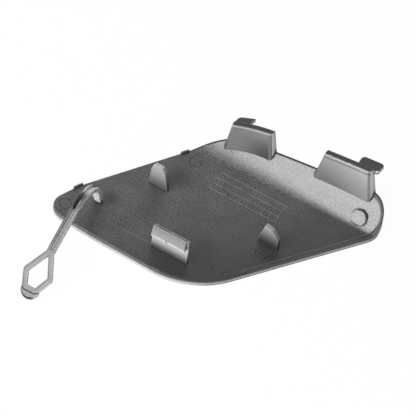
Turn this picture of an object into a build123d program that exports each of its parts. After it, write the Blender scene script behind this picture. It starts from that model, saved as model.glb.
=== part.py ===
from build123d import *
import math
import os

# Bumper tow hook cover, one moulding seen from its inner side, in millimetres.
# The painted outer face lies down on z = 0 and the hooks, clip and tether stand up.
# X runs along the hooks, Y towards the hooked edge, Z away from the outer face.
# The origin is on the outer face, near the middle of the cover.

# Plate
WALL = 2.4
LEFT_CORNER = (-41.9, -24.1)
NEAR_CORNER = (9.95, -26.15)
RIGHT_CORNER = (50.75, 32.75)
FAR_CORNER = (-11.1, 27.9)
LEFT_SHOULDER = (-36.5, -11.5)
LEFT_RADIUS = 5.0
NEAR_RADIUS = 25.0
RIGHT_RADIUS = 7.4
FAR_RADIUS = 16.0
SHOULDER_RADIUS = 20.0
NEAR_EDGE_BULGE = 0.35
HOOK_EDGE_BULGE = 0.9
OUTER_EDGE_BEVEL = 0.3
INNER_EDGE_BEVEL = 0.3

# How far the bent sheet starts under the ground, so that the ground cuts the outer face flat
SKIM = 0.05

# Turned-up band along the hooked edge
BEND_Y = 22.3
BEND_ANGLE = 29.5
BEND_RADIUS_LEFT = 26.0
BEND_RADIUS_RIGHT = 0.9

# Raised lip round the right side
LIP_WIDTH = 0.75
LIP_HEIGHT = 0.35
LIP_START = (18.5, -10.2)
LIP_END_X = 34.0

# Small raised lugs on the rim: place, length, direction and height
LUG_WIDTH = 0.9
LUGS = (
    (-36.7, -11.9, 3.0, 62.0, 0.8),
    (-17.8, 17.2, 2.6, 57.0, 0.6),
    (-2.3, -25.0, 2.8, -2.0, 0.15),
    (18.9, -12.6, 0.5, 55.0, 0.35),
)

# Hooks
HOOK_LEAN = 23.0
HOOK_ROOT_THICKNESS = 3.0
HOOK_TIP_THICKNESS = 1.85
HOOK_LEFT_ROUND = 0.6
HOOK_RIGHT_ROUND = 1.3
LEFT_HOOK_X = -1.8
LEFT_HOOK_SETBACK = 2.9
LEFT_HOOK_WIDTH = 15.0
LEFT_HOOK_HEIGHT = 7.1
LEFT_HOOK_TAPERS = (0.75, 1.7)
LEFT_HOOK_SKEW = 14.0
LEFT_HOOK_TURN = 12.0
LEFT_HOOK_TILT = 7.0
LEFT_HOOK_BEND_RADIUS = 42.0
RIGHT_HOOK_X = 27.9
RIGHT_HOOK_SETBACK = 2.8
RIGHT_HOOK_WIDTH = 19.0
RIGHT_HOOK_HEIGHT = 8.1
RIGHT_HOOK_TAPERS = (1.3, 2.6)
RIGHT_HOOK_SKEW = 9.0
RIGHT_HOOK_TURN = 3.4
RIGHT_HOOK_TILT = 3.8
RIGHT_HOOK_BEND_RADIUS = 300.0

# Tongues at the outer ends of the hooks, as plan points from the top front corner of the wall
TONGUE_DROOP = 8.0
TONGUE_THICKNESS = 1.1
LEFT_TONGUE = ((0.3, 1.0), (0.6, 3.0), (1.0, 4.0), (1.7, 4.5), (5.7, 5.2), (5.0, 3.6), (4.8, 1.2))
RIGHT_TONGUE = ((-5.0, 0.8), (-5.1, 4.6), (-4.4, 5.4), (1.2, 5.4), (2.0, 4.7), (1.8, 1.8), (0.8, 1.1), (-0.6, 0.8))

# Snap clip
CLIP_X = (-7.7, 4.3)
CLIP_Y = -18.7
CLIP_WALL = 0.85
CLIP_HEIGHT = 9.45
BARB_DEPTH = 1.1
BARB_SEAT = 5.8
BARB_STEP = 0.5
BARB_INSET = 0.85
CLIP_SLOT_WIDTH = 0.3
CLIP_SLOT_DEPTH = 0.4
CLIP_SLOT_END = 0.5
DENT_X = -2.45
DENT_RADIUS = 0.42
DENT_DEPTH = 0.4

# Locating ribs
RIB_Y = 2.0
RIB_THICKNESS = 1.3
POST_X = -20.6
POST_WIDTH = 6.3
POST_HEIGHT = 8.6
BLADE_X = 16.2
BLADE_WIDTH = 6.8
BLADE_HEIGHT = 7.8

# Tether strap and its loop, in a frame at the strap's foot with the strap running towards -Y
STRAP_FOOT = (-28.85, -13.0)
STRAP_TURN = 1.4
STRAP_WIDTH = 2.5
STRAP_THICKNESS = 1.4
STRAP_ROOT_WIDTH = 1.7
STRAP_ROOT_HEIGHT = 8.0
STRAP_LENGTH = 42.9
STRAP_RISE_LEAN = 20.0
STRAP_BEND_RADIUS = 11.0
STRAP_FALL_ANGLE = 28.0
STRAP_GROOVE_WIDTH = 1.0
STRAP_GROOVE_DEPTH = 0.35
POCKET_LENGTH = 3.2
POCKET_WIDTH = 1.3
POCKET_FROM_LOOP = 14.0
POCKET_FLOOR = -0.5
LOOP_LENGTH = 15.6
LOOP_EYE_START = 1.5
LOOP_EYE_WIDEST = 7.9
LOOP_EYE_END = 12.0
LOOP_EYE_WIDTH = 6.3
LOOP_EYE_END_WIDTH = 2.8
LOOP_BAR = 1.5
LOOP_STOP_RADIUS = 2.85
LOOP_STOP_DROP = 1.4

# Marks left by the mould
PIN_MARKS = ((13.0, -15.1), (-36.2, -19.6), (-13.3, 16.0), (20.2, -2.2))
PIN_MARK_RADIUS = 2.0
PIN_MARK_LINE = 0.25
PIN_MARK_DEPTH = 0.12
PAD_AT = (36.8, 24.9)
PAD_RADIUS = 2.6
PAD_HEIGHT = 0.08
PAD_GROOVE_SHIFT = (-0.26, -0.24)
PAD_GROOVE_DEPTH = 0.35
TABLE_CORNER = (-5.0, 10.0)
TABLE_SIZE = (22.0, 7.0)
TABLE_ROWS = 3
TABLE_COLUMNS = 9
TABLE_LINE = 0.2
TABLE_RELIEF = 0.1

OVERRUN = 20.0
TAN_HALF_BEND = math.tan(math.radians(BEND_ANGLE / 2))


def between(first, second, share):
    return tuple(a + (b - a) * share for a, b in zip(first, second))


def bulged(start, end, bulge):
    """An arc from start to end that stands out by bulge to the right of its direction."""
    middle = Vector(*between(start, end, 0.5))
    along = (Vector(*end) - Vector(*start)).normalized()
    return ThreePointArc(start, middle + Vector(along.Y, -along.X) * bulge, end)


def outline():
    """The plan shape: a rounded rhomboid with two slightly bowed edges."""
    edges = [
        bulged(LEFT_CORNER, NEAR_CORNER, NEAR_EDGE_BULGE),
        Line(NEAR_CORNER, RIGHT_CORNER),
        bulged(RIGHT_CORNER, FAR_CORNER, HOOK_EDGE_BULGE),
        Line(FAR_CORNER, LEFT_SHOULDER),
        Line(LEFT_SHOULDER, LEFT_CORNER),
    ]
    shape = make_face(Curve() + edges)
    corners = (
        (LEFT_CORNER, LEFT_RADIUS),
        (NEAR_CORNER, NEAR_RADIUS),
        (RIGHT_CORNER, RIGHT_RADIUS),
        (FAR_CORNER, FAR_RADIUS),
        (LEFT_SHOULDER, SHOULDER_RADIUS),
    )
    for corner, radius in corners:
        vertex = shape.vertices().sort_by_distance(corner)[0]
        shape = fillet(vertex, radius)
    return shape


def skin_section(x, bend_radius, depth):
    """Section of the sheet at x, as a face in the YZ plane, depth thick above the outer face."""
    angle = math.radians(BEND_ANGLE)
    centre_y = BEND_Y - bend_radius * TAN_HALF_BEND
    centre_z = WALL + bend_radius
    outer = centre_z + SKIM
    inner = centre_z - depth
    slope = Vector(0, math.cos(angle), math.sin(angle)) * (3 * OVERRUN)
    start_y = NEAR_CORNER[1] - OVERRUN

    def on_arc(radius, turn):
        return Vector(x, centre_y + radius * math.sin(turn), centre_z - radius * math.cos(turn))

    outer_arc = ThreePointArc(on_arc(outer, 0), on_arc(outer, angle / 2), on_arc(outer, angle))
    inner_arc = ThreePointArc(on_arc(inner, angle), on_arc(inner, angle / 2), on_arc(inner, 0))
    edges = [
        Line((x, start_y, -SKIM), outer_arc @ 0),
        outer_arc,
        Line(outer_arc @ 1, (outer_arc @ 1) + slope),
        Line((outer_arc @ 1) + slope, (inner_arc @ 0) + slope),
        Line((inner_arc @ 0) + slope, inner_arc @ 0),
        inner_arc,
        Line(inner_arc @ 1, (x, start_y, depth)),
        Line((x, start_y, depth), (x, start_y, -SKIM)),
    ]
    return make_face(Curve() + edges)


def skin(depth):
    """The bent sheet before it is cut to the outline: the bend is tight on the right and fades to the left."""
    left = skin_section(LEFT_CORNER[0], BEND_RADIUS_LEFT, depth)
    right = skin_section(RIGHT_CORNER[0], BEND_RADIUS_RIGHT, depth)
    return loft([left, right], ruled=True)


def surface_height(x, y):
    """Height of the inner face above the ground at a plan point."""
    share = (x - LEFT_CORNER[0]) / (RIGHT_CORNER[0] - LEFT_CORNER[0])
    radius = BEND_RADIUS_LEFT + (BEND_RADIUS_RIGHT - BEND_RADIUS_LEFT) * share
    angle = math.radians(BEND_ANGLE)
    start = BEND_Y - radius * TAN_HALF_BEND
    if y <= start:
        return WALL
    if y >= start + radius * math.sin(angle):
        return WALL + (y - BEND_Y) * math.tan(angle)
    return WALL + radius - math.sqrt(radius ** 2 - (y - start) ** 2)


def hooked_edge_y(x):
    """Where the hooked edge runs at x."""
    share = (x - FAR_CORNER[0]) / (RIGHT_CORNER[0] - FAR_CORNER[0])
    straight = FAR_CORNER[1] + (RIGHT_CORNER[1] - FAR_CORNER[1]) * share
    return straight + 4 * HOOK_EDGE_BULGE * share * (1 - share)


def inner_rim(body):
    """The edges where the inner face meets the side wall."""
    sheet = [face for face in body.faces() if face.normal_at().Z > 0.5]
    edges = ShapeList([edge for face in sheet for edge in face.edges()])
    return ShapeList([edge for edge in edges if sum(edge.is_same(other) for other in edges) == 1])


def plate():
    """The bent sheet cut to its outline, with its rim bevelled and a low lip along the right side."""
    shape = outline()
    foot = loft([offset(shape, -OUTER_EDGE_BEVEL), Pos(0, 0, OUTER_EDGE_BEVEL) * shape], ruled=True)
    body = skin(WALL) & (foot + Pos(0, 0, OUTER_EDGE_BEVEL) * extrude(shape, OVERRUN))
    body = chamfer(inner_rim(body), INNER_EDGE_BEVEL)
    ring = extrude(shape - offset(shape, -LIP_WIDTH), OVERRUN)
    zone = Polygon(
        LIP_START,
        (RIGHT_CORNER[0] + OVERRUN, LIP_START[1] - OVERRUN),
        (RIGHT_CORNER[0] + OVERRUN, RIGHT_CORNER[1] + OVERRUN),
        (LIP_END_X, RIGHT_CORNER[1] + OVERRUN),
        (LIP_END_X, BEND_Y),
        align=None,
    )
    lip = skin(WALL + LIP_HEIGHT) - skin(WALL / 2)
    body += lip & ring & extrude(zone, OVERRUN)
    for x, y, length, turn, height in LUGS:
        lug = Box(length, LUG_WIDTH, WALL / 2 + height, align=(Align.CENTER, Align.CENTER, Align.MIN))
        body += (Pos(x, y, WALL / 2) * Rot(0, 0, turn) * lug) & extrude(shape, OVERRUN)
    return body


def hook_wall(width, height, tapers, skew, bend_radius):
    """The leaning wall of a hook: its side section turned about an upright axis, with tapered and skewed ends."""
    lean = math.tan(math.radians(HOOK_LEAN))
    left, right = tapers
    sunk = -WALL / 2
    side = Polygon(
        (sunk * lean, sunk),
        (sunk * lean + HOOK_ROOT_THICKNESS, sunk),
        (height * lean + HOOK_TIP_THICKNESS, height),
        (height * lean, height),
        align=None,
    )
    front = Polygon(
        (-width / 2 + sunk * left / height, sunk),
        (width / 2 - sunk * right / height, sunk),
        (width / 2 - right, height),
        (-width / 2 + left, height),
        align=None,
    )
    side_plane = Plane(origin=(0, 0, 0), x_dir=(0, 1, 0), z_dir=(1, 0, 0))
    front_plane = Plane(origin=(0, 0, 0), x_dir=(1, 0, 0), z_dir=(0, -1, 0))
    axis = Axis((0, -bend_radius, 0), (0, 0, 1))
    sweep_angle = math.degrees(2 * width / bend_radius)
    ring = revolve(side_plane * side, axis=axis, revolution_arc=sweep_angle)
    ring = ring.rotate(axis, -sweep_angle / 2)
    backwards = (math.sin(math.radians(skew)), math.cos(math.radians(skew)), 0)
    wall = ring & extrude(front_plane * front, OVERRUN, dir=backwards, both=True)
    upright = [e for e in wall.edges() if e.bounding_box().size.Z > height]
    front_corners = ShapeList(upright).sort_by(lambda e: (e @ 0.5).Y)[:2]
    wall = fillet(front_corners.sort_by(Axis.X)[0], HOOK_LEFT_ROUND)
    upright = [e for e in wall.edges() if e.bounding_box().size.Z > height]
    nearest_right = ShapeList(upright).filter_by(lambda e: (e @ 0.5).X > 0).sort_by(lambda e: (e @ 0.5).Y)[0]
    return fillet(nearest_right, HOOK_RIGHT_ROUND)


def tongue(points, height):
    """A flange level with the hook's top that droops towards the back, from its plan points."""
    piece = extrude(Polygon(*points, align=None), TONGUE_THICKNESS, dir=(0, 0, -1))
    return Pos(0, height * math.tan(math.radians(HOOK_LEAN)), height) * Rot(-TONGUE_DROOP, 0, 0) * piece


def top_shift(height, skew):
    """How far the skew moves the front corners of a hook's top."""
    return height * math.tan(math.radians(HOOK_LEAN)) * math.tan(math.radians(skew))


def seated(piece, x, setback, turn, tilt):
    """A hook on the inner face, its front a set distance in from the hooked edge."""
    y = hooked_edge_y(x) - setback
    return Pos(x, y, surface_height(x, y)) * Rot(0, 0, turn) * Rot(0, -tilt, 0) * piece


def left_hook():
    height = LEFT_HOOK_HEIGHT
    wall = hook_wall(LEFT_HOOK_WIDTH, height, LEFT_HOOK_TAPERS, LEFT_HOOK_SKEW, LEFT_HOOK_BEND_RADIUS)
    corner = LEFT_HOOK_TAPERS[0] - LEFT_HOOK_WIDTH / 2 + top_shift(height, LEFT_HOOK_SKEW)
    back = corner ** 2 / (2 * LEFT_HOOK_BEND_RADIUS)
    piece = wall + Pos(corner, -back, 0) * tongue(LEFT_TONGUE, height)
    return seated(piece, LEFT_HOOK_X, LEFT_HOOK_SETBACK, LEFT_HOOK_TURN, LEFT_HOOK_TILT)


def right_hook():
    height = RIGHT_HOOK_HEIGHT
    wall = hook_wall(RIGHT_HOOK_WIDTH, height, RIGHT_HOOK_TAPERS, RIGHT_HOOK_SKEW, RIGHT_HOOK_BEND_RADIUS)
    corner = RIGHT_HOOK_WIDTH / 2 - RIGHT_HOOK_TAPERS[1] + top_shift(height, RIGHT_HOOK_SKEW)
    piece = wall + Pos(corner, 0, 0) * tongue(RIGHT_TONGUE, height)
    return seated(piece, RIGHT_HOOK_X, RIGHT_HOOK_SETBACK, RIGHT_HOOK_TURN, RIGHT_HOOK_TILT)


def clip():
    """The snap clip: an upright wall with a wedge barb facing the near edge, a dent and a slot in its top."""
    length = CLIP_X[1] - CLIP_X[0]
    top = CLIP_HEIGHT
    wall = Box(length, CLIP_WALL, WALL / 2 + top, align=(Align.MIN, Align.MIN, Align.MIN))
    wall = Pos(CLIP_X[0], CLIP_Y, WALL / 2) * wall
    barb = Polygon(
        (CLIP_Y + CLIP_WALL / 4, WALL + top),
        (CLIP_Y - BARB_DEPTH / 6, WALL + top),
        (CLIP_Y - BARB_DEPTH, WALL + BARB_SEAT + BARB_STEP / 3),
        (CLIP_Y - BARB_DEPTH * 0.8, WALL + BARB_SEAT),
        (CLIP_Y + CLIP_WALL / 4, WALL + BARB_SEAT - BARB_STEP),
        align=None,
    )
    barb_plane = Plane(origin=(CLIP_X[0], 0, 0), x_dir=(0, 1, 0), z_dir=(1, 0, 0))
    barb = extrude(barb_plane * barb, length - BARB_INSET)
    slot = Box(length - 2 * CLIP_SLOT_END, CLIP_SLOT_WIDTH, CLIP_SLOT_DEPTH)
    slot = Pos((CLIP_X[0] + CLIP_X[1]) / 2, CLIP_Y + CLIP_WALL / 2, WALL + top - CLIP_SLOT_DEPTH / 2) * slot
    dent = Cylinder(DENT_RADIUS, 2 * DENT_DEPTH, rotation=(90, 0, 0))
    dent = Pos(DENT_X, CLIP_Y - BARB_DEPTH, WALL + BARB_SEAT + BARB_STEP * 0.9) * dent
    return wall + barb - slot - dent


def standing_rib(profile):
    """A thin rib across the floor from an XZ profile, sunk into the plate."""
    rib_plane = Plane(origin=(0, RIB_Y, WALL), x_dir=(1, 0, 0), z_dir=(0, -1, 0))
    return extrude(rib_plane * profile, RIB_THICKNESS / 2, both=True)


def post_rib():
    sunk = -WALL / 2
    profile = Polygon(
        (POST_X, sunk),
        (POST_X + 0.3, POST_HEIGHT * 0.8),
        (POST_X + POST_WIDTH * 0.2, POST_HEIGHT),
        (POST_X + POST_WIDTH * 0.6, POST_HEIGHT),
        (POST_X + POST_WIDTH * 0.78, POST_HEIGHT * 0.8),
        (POST_X + POST_WIDTH, 0),
        (POST_X + POST_WIDTH, sunk),
        align=None,
    )
    return standing_rib(profile)


def blade_rib():
    sunk = -WALL / 2
    profile = Polygon(
        (BLADE_X - 0.3, sunk),
        (BLADE_X + BLADE_WIDTH * 0.32, BLADE_HEIGHT),
        (BLADE_X + BLADE_WIDTH * 0.7, BLADE_HEIGHT * 0.88),
        (BLADE_X + BLADE_WIDTH, BLADE_HEIGHT * 0.5),
        (BLADE_X + BLADE_WIDTH, sunk),
        align=None,
    )
    return standing_rib(profile)


def strap_line():
    """Corner points of the strap's middle line: foot, bend, start of the loop, end of the loop."""
    lean = math.radians(STRAP_RISE_LEAN)
    fall = math.radians(STRAP_FALL_ANGLE)
    foot = Vector(0, 0, WALL)
    end = Vector(0, -STRAP_LENGTH, LOOP_STOP_DROP * math.cos(fall))
    up = Vector(0, -math.sin(lean), math.cos(lean))
    back = Vector(0, math.cos(fall), math.sin(fall))
    level = end.Z + STRAP_LENGTH * math.tan(fall) - foot.Z
    corner = foot + up * (level / (math.cos(lean) + math.sin(lean) * math.tan(fall)))
    return foot - up * (WALL / 2), corner, end + back * LOOP_LENGTH, end


def strap():
    """The tether: a grooved strip that widens from a narrow root and bends over once."""
    foot, corner, start, end = strap_line()
    path = FilletPolyline(foot, corner, start + (end - start) * 0.02, radius=STRAP_BEND_RADIUS)
    section = Plane(origin=path @ 0, x_dir=(1, 0, 0), z_dir=path % 0)
    strip = Rectangle(STRAP_WIDTH, STRAP_THICKNESS)
    outer = math.copysign(1, section.y_dir.Y)
    groove = Rectangle(STRAP_GROOVE_WIDTH, STRAP_GROOVE_DEPTH)
    groove = Pos(0, outer * (STRAP_THICKNESS - STRAP_GROOVE_DEPTH) / 2) * groove
    body = sweep(section * (strip - groove), path=path)
    half = STRAP_WIDTH / 2
    root = STRAP_ROOT_WIDTH / 2
    front = Polygon(
        (-root, 0),
        (root, 0),
        (half, STRAP_ROOT_HEIGHT),
        (half, 2 * OVERRUN),
        (-half, 2 * OVERRUN),
        (-half, STRAP_ROOT_HEIGHT),
        align=None,
    )
    front_plane = Plane(origin=(0, 0, 0), x_dir=(1, 0, 0), z_dir=(0, -1, 0))
    return body & extrude(front_plane * front, 3 * OVERRUN, both=True)


def loop_seat():
    """The plane of the loop: origin where the strap ends, Y up the strap, Z away from the ground."""
    foot, corner, start, end = strap_line()
    along = (start - end).normalized()
    return Plane(origin=start, x_dir=(1, 0, 0), z_dir=Vector(1, 0, 0).cross(along))


def loop():
    """The flat eye at the strap's end, with a half-round stop that rests on the ground."""
    half = LOOP_EYE_WIDTH / 2
    half_end = LOOP_EYE_END_WIDTH / 2
    eye = Polygon(
        (0, -LOOP_EYE_START),
        (half, -LOOP_EYE_WIDEST),
        (half_end, -LOOP_EYE_END),
        (-half_end, -LOOP_EYE_END),
        (-half, -LOOP_EYE_WIDEST),
        align=None,
    )
    frame = extrude(offset(eye, LOOP_BAR) - eye, STRAP_THICKNESS / 2, both=True)
    stop = Circle(LOOP_STOP_RADIUS) & Rectangle(OVERRUN, OVERRUN, align=(Align.CENTER, Align.MAX))
    stop = extrude(stop, LOOP_STOP_DROP)
    stop = Pos(0, LOOP_STOP_RADIUS - LOOP_LENGTH, -LOOP_STOP_DROP) * stop
    return loop_seat() * (frame + stop)


def tether():
    """Strap and loop joined, with the pocket in the strap's upper face, turned onto its place."""
    pocket = Box(POCKET_WIDTH, POCKET_LENGTH, OVERRUN, align=(Align.CENTER, Align.MIN, Align.MIN))
    pocket = loop_seat() * Pos(0, POCKET_FROM_LOOP, POCKET_FLOOR) * pocket
    return Pos(*STRAP_FOOT, 0) * Rot(0, 0, STRAP_TURN) * (strap() + loop() - pocket)


def marks(body):
    """Pin witness rings in the floor, a raised pin pad on the band and a plain inspection table."""
    for x, y in PIN_MARKS:
        ring = Circle(PIN_MARK_RADIUS) - Circle(PIN_MARK_RADIUS - PIN_MARK_LINE)
        body -= Pos(x, y, WALL) * extrude(ring, -PIN_MARK_DEPTH)
    pad_place = Pos(PAD_AT[0], PAD_AT[1], surface_height(*PAD_AT)) * Rot(BEND_ANGLE, 0, 0)
    body += pad_place * Pos(0, 0, PAD_HEIGHT) * extrude(Circle(PAD_RADIUS), -WALL / 2)
    crescent = Circle(PAD_RADIUS) - Pos(*PAD_GROOVE_SHIFT) * Circle(PAD_RADIUS)
    body -= pad_place * Pos(0, 0, 2 * PAD_HEIGHT) * extrude(crescent, -PAD_GROOVE_DEPTH - 2 * PAD_HEIGHT)
    length, height = TABLE_SIZE
    x0, y0 = TABLE_CORNER
    sunk = WALL / 4
    for row in range(TABLE_ROWS + 1):
        line = Box(length, TABLE_LINE, TABLE_RELIEF + sunk, align=(Align.MIN, Align.CENTER, Align.MAX))
        body += Pos(x0, y0 + height * row / TABLE_ROWS, WALL + TABLE_RELIEF) * line
    for column in range(TABLE_COLUMNS + 1):
        line = Box(TABLE_LINE, height, TABLE_RELIEF + sunk, align=(Align.CENTER, Align.MIN, Align.MAX))
        body += Pos(x0 + length * column / TABLE_COLUMNS, y0, WALL + TABLE_RELIEF) * line
    return body


def cover():
    body = plate()
    body += left_hook()
    body += right_hook()
    body += clip()
    body += post_rib()
    body += blade_rib()
    body += tether()
    return marks(body)


os.makedirs("parts", exist_ok=True)
export_step(cover(), "parts/tow_hook_cover.step")
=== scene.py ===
import math

import bpy
from mathutils import Matrix, Vector

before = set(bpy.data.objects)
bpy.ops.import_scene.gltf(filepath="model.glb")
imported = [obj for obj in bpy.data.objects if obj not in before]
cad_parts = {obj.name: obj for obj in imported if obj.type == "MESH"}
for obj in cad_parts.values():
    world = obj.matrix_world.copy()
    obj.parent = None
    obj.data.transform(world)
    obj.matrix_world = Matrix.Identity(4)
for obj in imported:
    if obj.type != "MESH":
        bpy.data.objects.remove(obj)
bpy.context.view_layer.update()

# Lengths are in metres, in the CAD frame. A pair such as STANDS holds the two ends of a smooth step.

# Camera: an orthographic view fitted to the picture
VIEW_RIGHT = Vector((0.8522, 0.5142, 0.0973))
VIEW_UP = Vector((-0.4513, 0.6288, 0.6356))
VIEW_BACK = Vector((0.2656, -0.5856, 0.7680))
VIEW_CENTRE = Vector((-0.01272, 0.02789, -0.03007))
VIEW_WIDTH = 0.12064
VIEW_DISTANCE = 0.6
VIEW_NEAR = 0.01
VIEW_FAR = 10.0

# Plain tones, as linear light: colours for painted shade, for the painted shade at the roots of parts and a
# scratch, for rubbed edges and for scuffs
PAINTED_SHADE_GREY = (0.006, 0.006, 0.0061, 1.0)
SHADE_AND_SCRATCH_GREY = (0.015, 0.015, 0.0152, 1.0)
WORN_GREY = (0.42, 0.42, 0.423, 1.0)
SCUFF_GREY = (0.80, 0.80, 0.805, 1.0)

# Sheet: its inner face's height, and the line it turns up from
SHEET_TOP = 0.0024
BEND_Y = 0.0223
BEND_SLOPE = math.tan(math.radians(29.5))
SHEET_LIGHT = (0.098, 0.098, 0.099, 1.0)
SHEET_DARK = (0.006, 0.006, 0.0061, 1.0)
SHEET_DARKENS = (-0.012, 0.040)
# The band where the sheet turns up is painted paler: a painted sheen where it tilts towards the lamps
BAND_SHEEN_LIGHT = (0.245, 0.245, 0.2475, 1.0)
BAND_SHEEN_DARK = (0.145, 0.145, 0.1464, 1.0)
BAND_LEANS = (-0.42, -0.08)
BAND_FACES_UP = (0.78, 0.84)

# Marks on the sheet: painted shadows cast by the standing parts (middle, radius, strength), a light witness
# line and a scratch
PAINTED_SHADOWS = (
    ((-0.0144, 0.0080), 0.0060, 0.8),
    ((-0.0265, -0.0100), 0.0035, 0.8),
    ((0.0080, -0.0155), 0.0060, 0.8),
    ((0.0055, -0.0100), 0.0060, 0.5),
    ((0.0220, 0.0040), 0.0050, 0.6),
)
WITNESS_LINE = ((-0.0220, -0.0181), (-0.0080, -0.0181))
WITNESS_HALF_WIDTH = 0.00008
SCRATCH = ((-0.0080, 0.0257), (-0.0057, 0.0241))
SCRATCH_HALF_WIDTH = 0.00010
STROKE_SOFT = 0.00005
STROKE_END = 0.0005

# Inspection table: its corners, and the height of its lines
TABLE_X = (-0.0052, 0.0172)
TABLE_Y = (0.0098, 0.0172)
TABLE_SOFT = 0.0001
TABLE_LINES = (0.00003, 0.00007)
TABLE_GREY = (0.105, 0.105, 0.106, 1.0)

# What stands on the sheet, by height above it, and the smooth bend, which doesn't stand
STANDS = (0.0003, 0.0009)
WALL_STANDS = (-0.0001, 0.0)
WALL_FACES_FRONT = (-0.8, -0.65)
BEND_FACES_UP = (0.84, 0.87)
BEND_TALL = (0.0010, 0.0012)
BEND_STARTS = (0.010, 0.012)

# Hooks: the planes of their tops (height at the origin, and slopes along X and Y), and their tones of
# painted light and shade
LEFT_TOP = (0.01131, 0.1198, 0.0252)
RIGHT_TOP = (0.01234, 0.0661, 0.004)
BETWEEN_HOOKS = (0.012, 0.013)
HOOKS_START = (0.018, 0.020)
LEFT_HOOK_GREY = (0.225, 0.225, 0.2273, 1.0)
RIGHT_HOOK_GREY = (0.258, 0.258, 0.2606, 1.0)
RIGHT_ROOT_SHADE_GREY = (0.080, 0.080, 0.0808, 1.0)
CORNER_SHADE_GREY = (0.14, 0.14, 0.1414, 1.0)
LIT_SIDE_GREY = (0.6, 0.6, 0.606, 1.0)
CREASE_HIGHLIGHT_GREY = (0.32, 0.32, 0.3232, 1.0)
TOP_SHADE_GREY = (0.008, 0.008, 0.0081, 1.0)
PART_RISES = (-0.001, 0.0085)
LEFT_HOOK_CURVE = 1.7
LEFT_HOOK_FADES = (-0.010, 0.004)
LEFT_HOOK_EXTRA = (0.10, 0.0)
RIGHT_HOOK_FADES = (0.018, 0.037)
RIGHT_HOOK_EXTRA = (-0.15, 0.25)
TOP_FACES_UP = (0.90, 0.97)
HOOK_FACES_FRONT = (-0.6, -0.4)
CREASE_DEPTH = (-0.001, 0.0003)
DIP_DEPTH = (0.0006, 0.0010)
DEPTH_SOFT = 0.0002
DIP_STRENGTH = (0.15, 0.7)
CORNER_TURNS = (0.15, 0.5)
CORNER_SOFT = 0.1
SIDE_TURNS = (0.6, 0.85)
TOP_TIPS_FORWARD = (-0.40, -0.04)
TOP_FRONT_STRENGTH = 0.6

# Ribs: the post stands left of the blade; their tones paint shade at the roots and light at the tops
POST_ROOT_SHADE = (0.09, 0.09, 0.091, 1.0)
RIB_GREY = (0.4, 0.4, 0.404, 1.0)
BLADE_GREY = (0.30, 0.30, 0.303, 1.0)
POST_FADES = (-0.0238, -0.0174)
POST_LOSS = 0.15
BLADE_STARTS = (0.0, 0.010)
BLADE_CURVE = 1.5

# Clip: where it stands, and its grey of painted light and shade at shares of its height
CLIP_X = (-0.0080, 0.0046)
CLIP_Y = (-0.0205, -0.0170)
CLIP_SOFT = 0.0001
CLIP_TALL = 0.0095
CLIP_LIGHT_AND_SHADE = ((0.0, 0.03), (0.15, 0.10), (0.38, 0.38), (0.55, 0.52), (0.63, 0.56), (0.69, 0.22), (1.0, 0.15))
CLIP_BACK = (0.0, 0.3)
BLUE_GAIN = 1.01

# Outer wall of the plate, from the sheet's edge down: painted light low on the wall, and painted shade under
# its edge and, where it faces right, at its foot
WALL_BEGINS = (-0.0002, 0.0)
FACES_SIDEWAYS = (0.2, 0.5)
SKIRT_LIT_GREY = (0.42, 0.42, 0.4242, 1.0)
SKIRT_SHADE = (0.050, 0.050, 0.0505, 1.0)
SKIRT_DARKENS = (-0.0015, -0.0004)
FAR_SKIRT_LIT_GREY = (0.42, 0.42, 0.4235, 1.0)
FAR_SKIRT_TURNS = (0.4, 0.7)
FAR_SKIRT_DARKENS = (-0.0017, -0.0004)
FAR_SKIRT_FOOT = (-0.0019, -0.0016)
END_TURNS = (0.90, 0.97)
END_DARKENS = (-0.0012, -0.0006)

# Strap: where it runs, its middle line (X at the origin, and slope along Y), and its tones of painted light
# and shade
STRAP_X = (-0.0330, -0.0255)
STRAP_SOFT = 0.0003
STRAP_OVER_PLATE = (-0.0124, -0.0120)
STRAP_PAST_PLATE = (-0.0272, -0.0268)
STRAP_MIDDLE = (-0.02853, 0.0244)
STRAP_SHADED_GREY = (0.015, 0.015, 0.0152, 1.0)
STRAP_LIT_GREY = (0.14, 0.14, 0.1414, 1.0)
STRAP_SHADE = (0.035, 0.035, 0.0354, 1.0)
ARCH_LIT_GREY = (0.60, 0.60, 0.605, 1.0)
ARCH_STARTS = (-0.0250, -0.0215)
STRAP_TURNS = (-0.4, 0.2)
STRAP_SIDE_TURNS = (0.5, 0.8)
LEFT_HALF = (-0.0010, 0.0014)
LEFT_HALF_STRENGTH = 0.9
EYE_ENDS = (-0.0425, -0.0400)
CHANNEL_ASIDE = (-0.0005, 0.0005)
CHANNEL_Y = (-0.0300, -0.0240)
RAIL_ASIDE = (-0.0018, -0.0012)
RAIL_Y = (-0.0340, -0.0290)
GROOVE_SOFT = 0.0001
GROOVE_END = 0.0010
POCKET_ASIDE = (-0.00065, 0.00065)
POCKET_Y = (-0.0296, -0.0254)
POCKET_END = 0.0004

# Half-round stop at the strap's end: the rim round its ledge, painted dark as shade
STOP_STARTS = (-0.052, -0.050)
STOP_RIM_FRONT = (-0.68, -0.54)
STOP_RIM_LEFT = (-0.6, -0.4)
STOP_RIM_TALL = (0.0014, 0.0018)

# Edges: the near right edge and the hooked edge, each a point and its outward direction
NEAR_EDGE = ((0.00995, -0.02615), (0.822, -0.569))
HOOKED_EDGE = ((-0.0111, 0.0279), (-0.078, 0.997))
EDGE_SOFT = 0.0002
NEAR_RIM = -0.0016
NEAR_RIM_STARTS = (0.0180, 0.0190)
END_RIM_STARTS = (0.0384, 0.0390)
HOOKED_RIM = -0.0012
HOOKED_RIM_STARTS = (0.0300, 0.0310)
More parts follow.
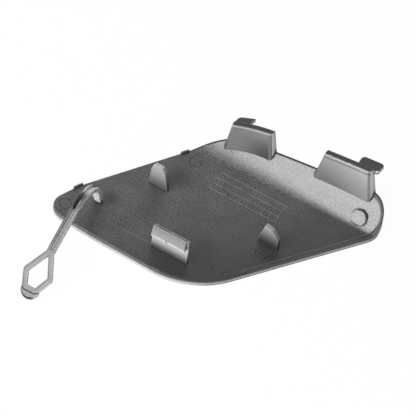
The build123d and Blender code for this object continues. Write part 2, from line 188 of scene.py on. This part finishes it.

# Lip and rim: the lip's bevel, painted light, or painted shade where it faces the front, its top, painted
# dark as shade, the painted shade line where the sheet turns over, and the pale margin inside it
LIP_LIT_GREY = (0.3, 0.3, 0.303, 1.0)
BEVEL_TURNS = (0.35, 0.45)
BEVEL_FACES_UP = (0.3, 0.5)
BEVEL_TALL = (-0.0004, 0.0005)
BEVEL_SOFT = 0.0001
BEVEL_END_SIDE = (-0.30, -0.20)
LIP_TOP_TALL = (0.00020, 0.00045)
LIP_TOP_FACES_UP = (0.8, 0.85)
LIP_TOP_STARTS = (0.014, 0.018)
LINE_SOFT = 0.00005
RIM_TURNS_OVER = (0.10, 0.28)
RIM_FACES_RIGHT = (0.1, 0.3)
RIM_TALL = (-0.00008, 0.00015)
HOOKED_LINE_TIPS = (0.01, 0.06)
HOOKED_LINE_FACES_UP = (0.75, 0.80)
HOOKED_LINE_TALL = (-0.0006, 0.0006)
NEAR_LINE = -0.0002
NEAR_LINE_TALL = (-0.0004, 0.0002)
MARGIN = (-0.0016, -0.0003)
MARGIN_TALL = (-0.0001, 0.0001)
MARGIN_FACES_UP = (0.97, 0.99)
MARGIN_GREY = (0.08, 0.08, 0.0808, 1.0)

# Grain: scale, detail and roughness of each noise, and how the first two are mixed
CLOUDS = (190.0, 4.0, 0.6)
SPECKLE = (2500.0, 3.0, 0.6)
FLECKS = (1100.0, 2.0, 0.6)
FINE_GRAIN = (2600.0, 2.0, 0.5)
CLOUD_SHARE = 0.2
GRAIN_STEP = (0.36, 0.64)

# Scuffs along the right hook's top edge: most lie at its right end
SCUFF_X = (0.0335, 0.0365)
SCUFF_LEVEL = (0.67, 0.54)
SCUFF_EDGE = (0.0, 0.03)
SCUFF_DEPTH = (-0.0006, 0.0008)
SCUFF_SOFT = 0.0003
SCUFF_TIPS_FORWARD = (-0.25, -0.02)

# Painted shade and wear: reach of each occlusion, the step in it, and the strength
CORNER_REACH = 0.0012
CORNER_STEP = (0.45, 0.98)
CORNER_STRENGTH = 0.4
GROOVE_REACH = 0.0005
GROOVE_STEP = (0.60, 0.92)
GROOVE_STRENGTH = 0.95
GROOVE_TALL = (0.0008, 0.0016)
SHADE_REACH = 0.007
SHADE_STEP = (0.5, 1.0)
SHADE_STRENGTH = 0.25
SHADE_TALL = (0.0002, 0.0004)
WORN_REACH = 0.0003
WORN_STEP = (0.55, 0.95)
WORN_STRENGTH = 0.35
WORN_PATCHES = (0.40, 0.60)
WORN_LEAST = 0.2
WORN_ON_SHEET = 0.25
OCCLUSION_SAMPLES = 8

# Gloss, bump and the rounding of edges
PLASTIC_SPECULAR = 0.5
GLOSS_STEP = (0.3, 0.7)
GLOSS_ROUGHNESS = (0.36, 0.44)
MATT = 0.95
TURN_RADIUS = 0.0010
TURN_SAMPLES = 8
ROUND_SAMPLES = 6
ROUND_TALL = (0.0002, 0.0006)
ROUND_RADIUS = (0.00008, 0.00022)
HOOK_ROUNDER = 1.8
BUMP_DEPTH = 0.00002
BUMP_STRENGTH = 0.25
STRAP_BUMP = 0.05

# Floor and surroundings
FLOOR_SIZE = 3.0
FLOOR_GREY = (0.8, 0.8, 0.8, 1.0)
FLOOR_WHITE = 0.97
WORLD_WHITE = 1.0
WHITE = (1.0, 1.0, 1.0, 1.0)
WORLD_LIGHT = 0.02

# Lamps: name, place, size and power; each looks at the origin
LAMPS = (
    ("top_lamp", (-0.138, -0.295, 0.731), 0.36, 5.2),
    ("left_lamp", (-0.431, -0.514, 0.436), 0.30, 2.0),
    ("front_lamp", (-0.203, -0.756, 0.166), 0.30, 3.7),
    ("side_lamp", (-0.725, -0.300, 0.160), 0.30, 1.6),
    ("right_lamp", (0.650, -0.430, 0.160), 0.30, 0.9),
    ("back_lamp", (-0.306, 0.531, 0.514), 0.30, 0.2),
)

# Mix node: the sockets of its colour form and of its number form
COLOUR_SOCKETS = (6, 7, 2)
NUMBER_SOCKETS = (2, 3, 0)


class Field:
    """A number that varies over a surface: a shader socket that takes part in sums."""

    def __init__(self, tree, socket):
        self.tree = tree
        self.socket = socket

    def reckon(self, operation, first, second):
        made = self.tree.nodes.new("ShaderNodeMath")
        made.operation = operation
        feed(self.tree, first, made.inputs[0])
        feed(self.tree, second, made.inputs[1])
        return Field(self.tree, made.outputs["Value"])

    def __add__(self, other):
        return self.reckon("ADD", self, other)

    def __sub__(self, other):
        return self.reckon("SUBTRACT", self, other)

    def __rsub__(self, other):
        return self.reckon("SUBTRACT", other, self)

    def __mul__(self, other):
        return self.reckon("MULTIPLY", self, other)

    def __truediv__(self, other):
        return self.reckon("DIVIDE", self, other)

    def __pow__(self, other):
        return self.reckon("POWER", self, other)

    def __or__(self, other):
        """The larger of the two, which joins two masks."""
        return self.reckon("MAXIMUM", self, other)

    def step(self, ends, first=0.0, last=1.0):
        """A smooth step between the two ends, from the first number to the last."""
        made = node(
            self.tree,
            "ShaderNodeMapRange",
            From_Min=ends[0],
            From_Max=ends[1],
            To_Min=first,
            To_Max=last,
        )
        made.interpolation_type = "SMOOTHSTEP"
        feed(self.tree, self, made.inputs["Value"])
        return Field(self.tree, made.outputs["Result"])

    def fall(self, ends):
        """A smooth step from 1 down to 0."""
        return self.step(ends, 1.0, 0.0)

    def between(self, ends, soft):
        """1 between the two ends, with soft edges."""
        low, high = ends
        return self.step((low - soft, low + soft)) * self.fall((high - soft, high + soft))

    def mix(self, first, second):
        """The first colour where this is 0, the second where it is 1."""
        made = self.mix_node("RGBA", first, second, COLOUR_SOCKETS)
        return made.outputs[COLOUR_SOCKETS[2]]

    def blend(self, first, second):
        """The first number where this is 0, the second where it is 1."""
        made = self.mix_node("FLOAT", first, second, NUMBER_SOCKETS)
        return Field(self.tree, made.outputs[NUMBER_SOCKETS[2]])

    def mix_node(self, kind, first, second, sockets):
        made = self.tree.nodes.new("ShaderNodeMix")
        made.data_type = kind
        feed(self.tree, self, made.inputs[0])
        feed(self.tree, first, made.inputs[sockets[0]])
        feed(self.tree, second, made.inputs[sockets[1]])
        return made


def feed(tree, value, socket):
    """Puts a Field, a socket or a plain value into a node's input."""
    if isinstance(value, Field):
        tree.links.new(value.socket, socket)
    elif isinstance(value, bpy.types.NodeSocket):
        tree.links.new(value, socket)
    else:
        socket.default_value = value


def node(tree, kind, **inputs):
    """A new shader node with its sockets set by name."""
    made = tree.nodes.new(kind)
    for name, value in inputs.items():
        made.inputs[name.replace("_", " ")].default_value = value
    return made


def blank_material(name):
    """A material with only its output node."""
    material = bpy.data.materials.new(name)
    material.use_nodes = True
    material.node_tree.nodes.clear()
    output = material.node_tree.nodes.new("ShaderNodeOutputMaterial")
    return material, material.node_tree, output


def noise(tree, place, kind):
    scale, detail, roughness = kind
    made = node(tree, "ShaderNodeTexNoise", Scale=scale, Detail=detail, Roughness=roughness)
    tree.links.new(place, made.inputs["Vector"])
    return Field(tree, made.outputs["Fac"])


def split(tree, vector):
    """The three parts of a vector, as Fields."""
    made = tree.nodes.new("ShaderNodeSeparateXYZ")
    tree.links.new(vector, made.inputs["Vector"])
    return [Field(tree, made.outputs[axis]) for axis in "XYZ"]


def bevel(tree, samples, radius):
    """The normal averaged over an edge of this radius."""
    made = tree.nodes.new("ShaderNodeBevel")
    made.samples = samples
    feed(tree, radius, made.inputs["Radius"])
    return made.outputs["Normal"]


def occlusion(tree, distance, inside=False):
    """How closed in a point is: below 1 in corners, or at sharp edges when looked at from inside."""
    made = tree.nodes.new("ShaderNodeAmbientOcclusion")
    made.samples = OCCLUSION_SAMPLES
    made.only_local = True
    made.inside = inside
    made.inputs["Distance"].default_value = distance
    return Field(tree, made.outputs["AO"])


class Surface:
    """What the plastic's tones are worked out from at each point: place, facing, height and grain."""

    def __init__(self, tree):
        self.tree = tree
        texture = tree.nodes.new("ShaderNodeTexCoord")
        self.place = texture.outputs["Object"]
        self.x, self.y, self.z = split(tree, self.place)
        self.facing_x, self.facing_y, self.facing_z = split(tree, texture.outputs["Normal"])
        wide_bevel = bevel(tree, TURN_SAMPLES, TURN_RADIUS)
        self.turned_x, self.turned_y, self.turned_z = split(tree, wide_bevel)
        self.above = self.height_above_sheet()
        self.clouds = noise(tree, self.place, CLOUDS)
        self.tone = self.grain_tone()
        self.standing = self.standing_parts()
        self.hooks = self.y.step(HOOKS_START)
        self.hook_part = self.hooks * self.standing
        self.right_side = self.x.step(BETWEEN_HOOKS)
        self.under_top = self.right_side.blend(self.depth_under(LEFT_TOP), self.depth_under(RIGHT_TOP))
        # The hooks' tops, which are painted dark as shade
        self.shaded_top = self.hook_part * self.facing_z.step(TOP_FACES_UP)
        self.rise = self.above.step(PART_RISES)

    def height_above_sheet(self):
        past_bend = (self.y - BEND_Y) | 0.0
        return self.z - (past_bend * BEND_SLOPE + SHEET_TOP)

    def grain_tone(self):
        speckle = noise(self.tree, self.place, SPECKLE)
        grain = self.clouds * CLOUD_SHARE + speckle * (1.0 - CLOUD_SHARE)
        return grain.step(GRAIN_STEP)

    def standing_parts(self):
        """1 on what stands on the sheet, and 0 on the sheet and its bend."""
        wall = self.facing_y.fall(WALL_FACES_FRONT) * self.above.step(WALL_STANDS)
        bend = self.facing_z.step(BEND_FACES_UP) * self.above.fall(BEND_TALL)
        bend = bend * self.y.step(BEND_STARTS)
        return (self.above.step(STANDS) | wall) * (1.0 - bend)

    def depth_under(self, plane):
        """How far a point lies under the plane of a hook's top."""
        height, slope_x, slope_y = plane
        return self.x * slope_x + height + self.y * slope_y - self.z

    def past_edge(self, edge, reach):
        """1 beyond a straight edge seen from above, moved outward by reach."""
        point, outward = edge
        off = (self.x - point[0]) * outward[0] + (self.y - point[1]) * outward[1]
        return off.step((reach, reach + EDGE_SOFT))

    def shadow_patch(self, middle, radius, strength):
        """A soft round patch on the sheet, for a painted shadow."""
        away = self.tree.nodes.new("ShaderNodeVectorMath")
        away.operation = "DISTANCE"
        self.tree.links.new(self.place, away.inputs[0])
        away.inputs[1].default_value = (middle[0], middle[1], SHEET_TOP)
        return Field(self.tree, away.outputs["Value"]).step((0.0, radius), strength, 0.0)

    def stroke(self, line, half_width):
        """A thin straight line on the sheet, seen from above."""
        start, end = line
        length = math.dist(start, end)
        along_x = (end[0] - start[0]) / length
        along_y = (end[1] - start[1]) / length
        from_x = self.x - start[0]
        from_y = self.y - start[1]
        run = from_x * along_x + from_y * along_y
        off = from_y * along_x - from_x * along_y
        return off.between((-half_width, half_width), STROKE_SOFT) * run.between((0.0, length), STROKE_END)


class StrapMasks:
    """Where the tether strap and its parts lie."""

    def __init__(self, at):
        over_plate = at.x.between(STRAP_X, STRAP_SOFT) * at.y.fall(STRAP_OVER_PLATE) * at.standing
        self.strap = over_plate | at.y.fall(STRAP_PAST_PLATE)
        middle, slope = STRAP_MIDDLE
        aside = at.x - at.y * slope - middle
        # Painted shade in the channel and the pocket, and painted light on the rails
        self.channel = aside.between(CHANNEL_ASIDE, GROOVE_SOFT) * at.y.between(CHANNEL_Y, GROOVE_END)
        self.pocket = aside.between(POCKET_ASIDE, GROOVE_SOFT) * at.y.between(POCKET_Y, POCKET_END)
        self.rail = aside.between(RAIL_ASIDE, GROOVE_SOFT) * at.y.between(RAIL_Y, GROOVE_END)
        self.left_half = aside.step(LEFT_HALF, LEFT_HALF_STRENGTH, 0.0) * at.y.step(EYE_ENDS)
        stop_rim_shade = at.turned_y.fall(STOP_RIM_FRONT) | at.turned_x.fall(STOP_RIM_LEFT)
        self.stop_rim_shade = stop_rim_shade * at.y.fall(STOP_STARTS) * at.z.fall(STOP_RIM_TALL)


class EdgeMasks:
    """Where the lip's bevel and top and the painted shade line round the sheet lie."""

    def __init__(self, at):
        self.near_side = at.x.step(NEAR_RIM_STARTS)
        zone = at.past_edge(NEAR_EDGE, NEAR_RIM) * self.near_side | at.x.step(END_RIM_STARTS)
        zone = zone | at.past_edge(HOOKED_EDGE, HOOKED_RIM) * at.x.step(HOOKED_RIM_STARTS)
        not_upright = at.facing_z.step(BEVEL_FACES_UP)
        bevel_face = at.facing_x.step(BEVEL_TURNS) * at.above.between(BEVEL_TALL, BEVEL_SOFT)
        self.bevel_face = bevel_face * not_upright * zone
        self.end_side = at.facing_y.step(BEVEL_END_SIDE)
        lip_top_shade = at.above.between(LIP_TOP_TALL, LINE_SOFT) * at.facing_z.step(LIP_TOP_FACES_UP)
        self.lip_top_shade = lip_top_shade * zone * at.y.step(LIP_TOP_STARTS)
        # Painted shade lines round the sheet
        self.line = self.turning_line(at, zone) | self.hooked_line(at) | self.near_line(at, not_upright)

    def turning_line(self, at, zone):
        """A painted shade line where the sheet turns over at its right end."""
        line = (at.facing_z - at.turned_z).step(RIM_TURNS_OVER) * zone
        return line * at.facing_x.fall(RIM_FACES_RIGHT) * at.above.between(RIM_TALL, LINE_SOFT)

    def hooked_line(self, at):
        """A painted shade line where the sheet tips over at the hooked edge."""
        line = (at.turned_y - at.facing_y).step(HOOKED_LINE_TIPS) * at.facing_z.step(HOOKED_LINE_FACES_UP)
        return line * at.hooks * at.above.between(HOOKED_LINE_TALL, BEVEL_SOFT)

    def near_line(self, at, not_upright):
        """A painted shade line along the near right edge."""
        line = at.past_edge(NEAR_EDGE, NEAR_LINE) * self.near_side
        return line * at.above.between(NEAR_LINE_TALL, LINE_SOFT) * not_upright

    def margin(self, at):
        """The paler strip of sheet just inside the near line."""
        strip = at.past_edge(NEAR_EDGE, MARGIN[0]) * self.near_side
        strip = strip * (1.0 - at.past_edge(NEAR_EDGE, MARGIN[1]))
        return strip * at.above.between(MARGIN_TALL, LINE_SOFT) * at.facing_z.step(MARGIN_FACES_UP) * at.tone


def table_mask(at):
    return at.x.between(TABLE_X, TABLE_SOFT) * at.y.between(TABLE_Y, TABLE_SOFT)


def sheet_colour(at):
    """The grained inner face, darker towards the near right, with painted shadows, its marks and a painted
    sheen on the band where it turns up.
    """
    colour = at.tone.mix(SHEET_DARK, SHEET_LIGHT)
    colour = (at.x - at.y).step(SHEET_DARKENS).mix(colour, SHEET_DARK)
    # Painted shadows that the post, the strap's root, the clip and the blade cast on the sheet
    for middle, radius, strength in PAINTED_SHADOWS:
        colour = at.shadow_patch(middle, radius, strength).mix(colour, PAINTED_SHADE_GREY)
    table_lines = table_mask(at) * at.above.step(TABLE_LINES)
    colour = table_lines.mix(colour, TABLE_GREY)
    colour = at.stroke(WITNESS_LINE, WITNESS_HALF_WIDTH).mix(colour, TABLE_GREY)
    # Painted sheen: the band that tilts towards the lamps is painted paler
    band = at.facing_y.fall(BAND_LEANS) * at.facing_z.step(BAND_FACES_UP)
    colour = band.mix(colour, at.tone.mix(BAND_SHEEN_DARK, BAND_SHEEN_LIGHT))
    return at.stroke(SCRATCH, SCRATCH_HALF_WIDTH).mix(colour, SHADE_AND_SCRATCH_GREY)


def hook_colour(at):
    """Painted light and shade: darker at each hook's root, lighter towards its top, and lighter or darker
    along X.
    """
    left_extra = at.x.step(LEFT_HOOK_FADES, *LEFT_HOOK_EXTRA)
    right_extra = at.x.step(RIGHT_HOOK_FADES, *RIGHT_HOOK_EXTRA)
    extra = at.right_side.blend(left_extra, right_extra)
    rise = at.right_side.blend(at.rise ** LEFT_HOOK_CURVE, at.rise)
    root = at.right_side.mix(SHADE_AND_SCRATCH_GREY, RIGHT_ROOT_SHADE_GREY)
    tip = at.right_side.mix(LEFT_HOOK_GREY, RIGHT_HOOK_GREY)
    return (rise + extra).mix(root, tip)


def rib_colour(at):
    """Painted light and shade: darker at the roots of the post and the blade, lighter towards their tops."""
    blade = at.x.step(BLADE_STARTS)
    post_rise = at.rise - at.x.step(POST_FADES, 0.0, POST_LOSS)
    rise = blade.blend(post_rise, at.rise ** BLADE_CURVE)
    return rise.mix(blade.mix(POST_ROOT_SHADE, SHADE_AND_SCRATCH_GREY), blade.mix(RIB_GREY, BLADE_GREY))


def clip_colour(at):
    """The clip's painted light and shade from its root to its tip, with a plain back."""
    tones = at.tree.nodes.new("ShaderNodeValToRGB")
    stops = tones.color_ramp.elements
    for _ in range(len(CLIP_LIGHT_AND_SHADE) - len(stops)):
        stops.new(0.5)
    for stop, (share, grey) in zip(stops, CLIP_LIGHT_AND_SHADE):
        stop.position = share
        stop.color = (grey, grey, grey * BLUE_GAIN, 1.0)
    feed(at.tree, at.above / CLIP_TALL, tones.inputs["Fac"])
    return at.facing_y.step(CLIP_BACK).mix(tones.outputs["Color"], RIB_GREY)


def standing_colour(at, hook_corner_shade):
    """Ribs, hooks and clip with their painted light and shade, painted shade on the hooks' rounded corners
    and painted light on their sides.
    """
    colour = at.hooks.mix(rib_colour(at), hook_colour(at))
    clip = at.x.between(CLIP_X, CLIP_SOFT) * at.y.between(CLIP_Y, CLIP_SOFT)
    colour = clip.mix(colour, clip_colour(at))
    colour = hook_corner_shade.mix(colour, CORNER_SHADE_GREY)
    # Painted light on the hooks' sides that face right
    side = at.facing_x.step(SIDE_TURNS) * at.hook_part
    return side.mix(colour, LIT_SIDE_GREY)


def with_hook_tops(at, colour):
    """The painted highlight along the crease and the painted shade in the dip under a hook's top, the top
    itself painted dark as shade, and a painted highlight along the top's front edge.
    """
    front = at.facing_y.fall(HOOK_FACES_FRONT) * at.hooks
    crease = at.under_top.between(CREASE_DEPTH, DEPTH_SOFT) * front
    dip = at.under_top.between(DIP_DEPTH, DEPTH_SOFT) * front
    dip = dip * at.right_side.step((0.0, 1.0), *DIP_STRENGTH)
    top_front_highlight = at.turned_y.step(TOP_TIPS_FORWARD, TOP_FRONT_STRENGTH, 0.0) * at.shaded_top
    colour = crease.mix(colour, CREASE_HIGHLIGHT_GREY)
    colour = dip.mix(colour, SHADE_AND_SCRATCH_GREY)
    colour = at.shaded_top.mix(colour, TOP_SHADE_GREY)
    return top_front_highlight.mix(colour, CREASE_HIGHLIGHT_GREY)


def with_skirt(at, colour):
    """The plate's outer wall, with painted light low on it and painted shade under its edge, and where it
    faces right also at its foot and high on its end.
    """
    near = at.above.step(SKIRT_DARKENS).mix(SKIRT_LIT_GREY, SKIRT_SHADE)
    far = at.above.step(FAR_SKIRT_DARKENS).mix(FAR_SKIRT_LIT_GREY, PAINTED_SHADE_GREY)
    far = at.above.fall(FAR_SKIRT_FOOT).mix(far, PAINTED_SHADE_GREY)
    end_shade = at.facing_x.step(END_TURNS) * at.above.step(END_DARKENS)
    far = end_shade.mix(far, PAINTED_SHADE_GREY)
    skirt = at.above.fall(WALL_BEGINS) * at.facing_z.fall(FACES_SIDEWAYS)
    return skirt.mix(colour, at.facing_x.step(FAR_SKIRT_TURNS).mix(near, far))


def with_strap(at, masks, colour):
    """The tether strap with painted light and shade: lit where it turns right and shaded where it turns
    left, painted shade on its left half, in its channel, its pocket and round the stop, and painted light on
    its right side, its arch and its rails.
    """
    strap = at.turned_x.step(STRAP_TURNS).mix(STRAP_SHADED_GREY, STRAP_LIT_GREY)
    strap = masks.left_half.mix(strap, STRAP_SHADE)
    strap = at.facing_x.step(STRAP_SIDE_TURNS).mix(strap, ARCH_LIT_GREY)
    strap = masks.stop_rim_shade.mix(strap, STRAP_SHADED_GREY)
    strap = at.y.step(ARCH_STARTS).mix(strap, ARCH_LIT_GREY)
    strap = masks.rail.mix(strap, ARCH_LIT_GREY)
    strap = masks.channel.mix(strap, SHADE_AND_SCRATCH_GREY)
    colour = masks.strap.mix(colour, strap)
    return masks.pocket.mix(colour, PAINTED_SHADE_GREY)


def with_edges(at, masks, colour):
    """Painted light on the lip's bevel, painted shade on the bevel where it faces the front and on the lip's
    top, the painted shade line round the sheet, and the pale margin.
    """
    colour = masks.bevel_face.mix(colour, masks.end_side.mix(PAINTED_SHADE_GREY, LIP_LIT_GREY))
    colour = masks.lip_top_shade.mix(colour, SHADE_AND_SCRATCH_GREY)
    colour = masks.line.mix(colour, PAINTED_SHADE_GREY)
    return masks.margin(at).mix(colour, MARGIN_GREY)


def with_scuffs(at, colour):
    flecks = noise(at.tree, at.place, FLECKS)
    scuffs = (flecks - at.x.step(SCUFF_X, *SCUFF_LEVEL)).step(SCUFF_EDGE)
    scuffs = scuffs * at.under_top.between(SCUFF_DEPTH, SCUFF_SOFT) * at.hook_part * at.right_side
    scuffs = scuffs * at.turned_y.fall(SCUFF_TIPS_FORWARD)
    return scuffs.mix(colour, SCUFF_GREY)


def groove_mask(at):
    """Painted shade in narrow grooves low down, except in the inspection table."""
    groove = occlusion(at.tree, GROOVE_REACH).step(GROOVE_STEP, GROOVE_STRENGTH, 0.0)
    return groove * at.above.fall(GROOVE_TALL) * table_mask(at).fall((0.0, 1.0))


def with_painted_shade_and_wear(at, groove, edge_shade_line, colour):
    """Painted shade in corners, in grooves and round the standing parts, and edges rubbed lighter in
    patches.
    """
    crevice_shade = occlusion(at.tree, CORNER_REACH).step(CORNER_STEP, CORNER_STRENGTH, 0.0)
    shade = occlusion(at.tree, SHADE_REACH).step(SHADE_STEP, SHADE_STRENGTH, 0.0)
    shade = shade * at.above.fall(SHADE_TALL)
    colour = (crevice_shade | shade | groove).mix(colour, PAINTED_SHADE_GREY)
    worn = occlusion(at.tree, WORN_REACH, inside=True).step(WORN_STEP, WORN_STRENGTH, 0.0)
    worn = worn * at.clouds.step(WORN_PATCHES, WORN_LEAST, 1.0)
    worn = worn * (at.standing | WORN_ON_SHEET) * (1.0 - edge_shade_line)
    return worn.mix(colour, WORN_GREY)


def grained_normal(at, strap):
    """Edges that look a little rounded, under a fine grain."""
    radius = at.above.step(ROUND_TALL, *ROUND_RADIUS) * at.hooks.step((0.0, 1.0), 1.0, HOOK_ROUNDER)
    bump = node(at.tree, "ShaderNodeBump", Distance=BUMP_DEPTH)
    feed(at.tree, strap.step((0.0, 1.0), BUMP_STRENGTH, STRAP_BUMP), bump.inputs["Strength"])
    feed(at.tree, noise(at.tree, at.place, FINE_GRAIN), bump.inputs["Height"])
    feed(at.tree, bevel(at.tree, ROUND_SAMPLES, radius), bump.inputs["Normal"])
    return bump.outputs["Normal"]


def moulded_plastic():
    """Matt grey plastic: grained sheet, hooks and ribs with painted light and shade and tops painted dark as
    shade, painted shadows and painted shade in corners, and rubbed edges.
    """
    material, tree, output = blank_material("moulded_plastic")
    at = Surface(tree)
    strap = StrapMasks(at)
    edges = EdgeMasks(at)
    # Painted shade on the hooks' rounded vertical corners
    hook_corner_shade = at.facing_x.between(CORNER_TURNS, CORNER_SOFT) * at.hook_part
    groove = groove_mask(at)

    colour = at.standing.mix(sheet_colour(at), standing_colour(at, hook_corner_shade))
    colour = with_hook_tops(at, colour)
    colour = with_skirt(at, colour)
    colour = with_strap(at, strap, colour)
    colour = with_edges(at, edges, colour)
    colour = with_scuffs(at, colour)
    colour = with_painted_shade_and_wear(at, groove, edges.line, colour)

    dark_bevel = edges.bevel_face * (1.0 - edges.end_side)
    dark_strap = (strap.left_half | strap.stop_rim_shade) * strap.strap
    dull = groove | edges.line | strap.pocket | hook_corner_shade | dark_bevel | dark_strap
    roughness = dull.blend(at.clouds.step(GLOSS_STEP, *GLOSS_ROUGHNESS), MATT)

    shader = node(tree, "ShaderNodeBsdfPrincipled", Specular_IOR_Level=PLASTIC_SPECULAR)
    feed(tree, colour, shader.inputs["Base Color"])
    feed(tree, roughness, shader.inputs["Roughness"])
    feed(tree, grained_normal(at, strap.strap), shader.inputs["Normal"])
    tree.links.new(shader.outputs["BSDF"], output.inputs["Surface"])
    return material


def backdrop_share(tree, most):
    """The share of plain white that camera, glossy and transmission rays see."""
    path = tree.nodes.new("ShaderNodeLightPath")
    camera, glossy, through = [
        Field(tree, path.outputs[f"Is {kind} Ray"]) for kind in ("Camera", "Glossy", "Transmission")
    ]
    return (camera | glossy | through) * most


def mix_shaders(tree, share, first, second, output):
    """Joins two shaders by share, and wires them to the output."""
    made = tree.nodes.new("ShaderNodeMixShader")
    feed(tree, share, made.inputs["Fac"])
    tree.links.new(first, made.inputs[1])
    tree.links.new(second, made.inputs[2])
    tree.links.new(made.outputs["Shader"], output.inputs["Surface"])


def floor_material():
    """A pale matt floor that the camera and reflections see as white where no shadow falls."""
    material, tree, output = blank_material("studio_floor")
    matt = node(tree, "ShaderNodeBsdfDiffuse", Color=FLOOR_GREY)
    white = node(tree, "ShaderNodeEmission", Color=WHITE, Strength=1.0)
    share = backdrop_share(tree, FLOOR_WHITE)
    mix_shaders(tree, share, matt.outputs["BSDF"], white.outputs["Emission"], output)
    return material


def make_floor():
    bpy.ops.mesh.primitive_plane_add(size=FLOOR_SIZE, location=(0.0, 0.0, 0.0))
    floor = bpy.context.object
    floor.name = "studio_floor"
    floor.data.materials.append(floor_material())


def make_world():
    """Dim white light, which the camera and reflections see at full white."""
    world = bpy.data.worlds.new("studio")
    bpy.context.scene.world = world
    world.use_nodes = True
    tree = world.node_tree
    tree.nodes.clear()
    output = tree.nodes.new("ShaderNodeOutputWorld")
    soft = node(tree, "ShaderNodeBackground", Color=WHITE, Strength=WORLD_LIGHT)
    seen = node(tree, "ShaderNodeBackground", Color=WHITE, Strength=1.0)
    share = backdrop_share(tree, WORLD_WHITE)
    mix_shaders(tree, share, soft.outputs["Background"], seen.outputs["Background"], output)


def area_light(name, place, size, power):
    """A square soft lamp at place that looks at the origin."""
    lamp = bpy.data.lights.new(name, "AREA")
    lamp.shape = "SQUARE"
    lamp.size = size
    lamp.energy = power
    made = bpy.data.objects.new(name, lamp)
    bpy.context.scene.collection.objects.link(made)
    made.location = place
    made.rotation_euler = (-Vector(place)).to_track_quat("-Z", "Y").to_euler()


def make_camera():
    data = bpy.data.cameras.new("camera")
    data.type = "ORTHO"
    data.ortho_scale = VIEW_WIDTH
    data.clip_start = VIEW_NEAR
    data.clip_end = VIEW_FAR
    camera = bpy.data.objects.new("camera", data)
    bpy.context.scene.collection.objects.link(camera)
    turn = Matrix((VIEW_RIGHT, VIEW_UP, VIEW_BACK)).transposed().to_4x4()
    camera.matrix_world = Matrix.Translation(VIEW_CENTRE + VIEW_BACK * VIEW_DISTANCE) @ turn
    bpy.context.scene.camera = camera


def dress_cover():
    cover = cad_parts["tow_hook_cover"]
    cover.data.materials.clear()
    cover.data.materials.append(moulded_plastic())


bpy.context.scene.view_settings.view_transform = "Standard"
dress_cover()
make_floor()
make_world()
for name, place, size, power in LAMPS:
    area_light(name, place, size, power)
make_camera()
